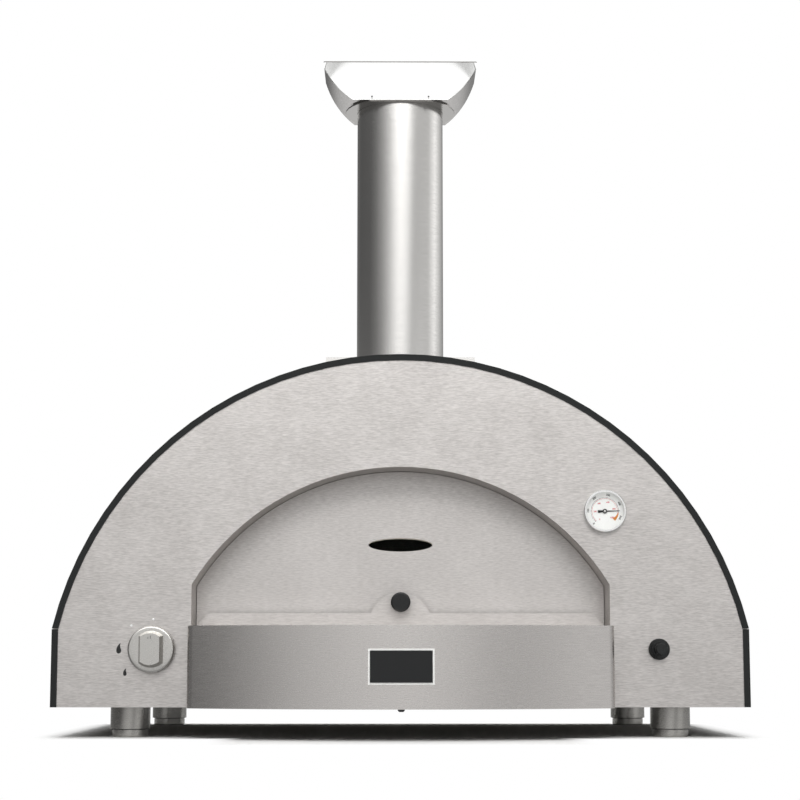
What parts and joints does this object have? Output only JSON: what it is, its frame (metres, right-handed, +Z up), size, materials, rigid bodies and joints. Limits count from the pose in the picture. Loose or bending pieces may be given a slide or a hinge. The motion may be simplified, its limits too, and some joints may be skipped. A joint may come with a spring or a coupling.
{
  "type": "gas pizza oven",
  "caption": "Gas pizza oven with a steel vault, arched mouth with lift-out door, bow-fronted shelf, flue with half-moon cap, control knob, igniter, thermometer and screw feet.",
  "frame": {"origin": "on the floor plane under the feet, below the centre of the overall box", "axes": "+X to the right seen from the front, +Y to the back, +Z up; the mouth faces -Y"},
  "size_m": [0.982, 0.7396, 1.009],
  "materials": {
    "vault_paint": "matte",
    "front_steel": "satin",
    "inner_steel": "satin",
    "flue_steel": "satin",
    "door_steel": "satin",
    "shelf_steel": "satin",
    "foot_steel": "satin",
    "knob_metal": "satin",
    "bright_ring": "polished",
    "black_plastic": "satin",
    "rubber": "matte",
    "fibre_blanket": "matte",
    "fire_clay": "matte",
    "electrode_ceramic": "satin",
    "brass": "satin",
    "dial_white": "satin",
    "lens_glass": "gloss",
    "badge_dark": "satin",
    "lead_jacket": "matte"
  },
  "bodies": {
    "oven": {"vault_cover": "vault_paint", "side_panel_left": "vault_paint", "side_panel_right": "vault_paint", "rear_panel": "vault_paint", "front_panel": "front_steel", "base_pan": "inner_steel", "mouth_reveal": "inner_steel", "chamber_front_wall": "inner_steel", "inner_vault": "inner_steel", "chamber_rear_wall": "inner_steel", "floor_tray": "inner_steel", "vault_insulation": "fibre_blanket", "rear_insulation": "fibre_blanket", "floor_insulation": "fibre_blanket", "hearth_tile_left": "fire_clay", "hearth_tile_right": "fire_clay", "front_shelf": "shelf_steel", "badge_backing": "bright_ring", "badge_face": "badge_dark", "shelf_bumper": "rubber", "flue_spigot": "flue_steel", "flue_base_flange": "flue_steel", "flue_pipe": "flue_steel", "flue_cap_shell": "flue_steel", "flue_cap_lid": "flue_steel", "flue_cap_collar": "flue_steel", "gas_valve_body": "brass", "burner_tube": "inner_steel", "burner_bracket": "inner_steel", "gas_feed_tube": "brass", "gas_manifold_pipe": "brass", "gas_inlet_fitting": "brass", "igniter_housing": "black_plastic", "igniter_nut": "black_plastic", "spark_electrode": "electrode_ceramic", "ignition_lead": "lead_jacket", "thermometer_case": "bright_ring", "thermometer_dial": "dial_white", "thermometer_lens": "lens_glass", "thermometer_stem": "inner_steel", "foot_tube_front_left": "foot_steel", "foot_tube_front_right": "foot_steel", "foot_tube_rear_left": "foot_steel", "foot_tube_rear_right": "foot_steel"},
    "door": {"door_outer_panel": "door_steel", "door_insulation": "fibre_blanket", "door_inner_panel": "door_steel", "door_rail": "door_steel", "door_handle_knob": "black_plastic", "door_handle_bolt": "door_steel"},
    "valve_plunger": {"valve_plunger": "foot_steel"},
    "gas_knob": {"gas_knob": "knob_metal", "valve_spindle": "brass"},
    "igniter_button": {"igniter_button": "black_plastic"},
    "thermometer_needle": {"thermometer_needle": "black_plastic"},
    "foot_front_left": {"foot_adjuster_front_left": "foot_steel"},
    "foot_front_right": {"foot_adjuster_front_right": "foot_steel"},
    "foot_rear_left": {"foot_adjuster_rear_left": "foot_steel"},
    "foot_rear_right": {"foot_adjuster_rear_right": "foot_steel"}
  },
  "joints": [
    {"name": "door_pull_out", "type": "slide", "parent": "oven", "child": "door", "axis": [0, -1, 0], "range_m": [0, 0.35]},
    {"name": "gas_knob_push", "type": "slide", "parent": "oven", "child": "valve_plunger", "axis": [0, 1, 0], "range_m": [0, 0.004], "stiffness_N_per_m": 900},
    {"name": "gas_knob_turn", "type": "hinge", "parent": "valve_plunger", "child": "gas_knob", "pos_m": [-0.35, -0.2492, 0.1235], "axis": [0, -1, 0], "range_deg": [0, 132]},
    {"name": "igniter_push", "type": "slide", "parent": "oven", "child": "igniter_button", "axis": [0, 1, 0], "range_m": [0, 0.004], "stiffness_N_per_m": 2000},
    {"name": "thermometer_needle_turn", "type": "hinge", "parent": "oven", "child": "thermometer_needle", "pos_m": [0.2897, -0.2492, 0.3177], "axis": [0, -1, 0], "range_deg": [-24, 226], "stiffness_Nm_per_rad": 0.0005},
    {"name": "foot_front_left_screw", "type": "slide", "parent": "oven", "child": "foot_front_left", "axis": [0, 0, -1], "range_m": [0, 0.015]},
    {"name": "foot_front_right_screw", "type": "slide", "parent": "oven", "child": "foot_front_right", "axis": [0, 0, -1], "range_m": [0, 0.015]},
    {"name": "foot_rear_left_screw", "type": "slide", "parent": "oven", "child": "foot_rear_left", "axis": [0, 0, -1], "range_m": [0, 0.015]},
    {"name": "foot_rear_right_screw", "type": "slide", "parent": "oven", "child": "foot_rear_right", "axis": [0, 0, -1], "range_m": [0, 0.015]}
  ]
}
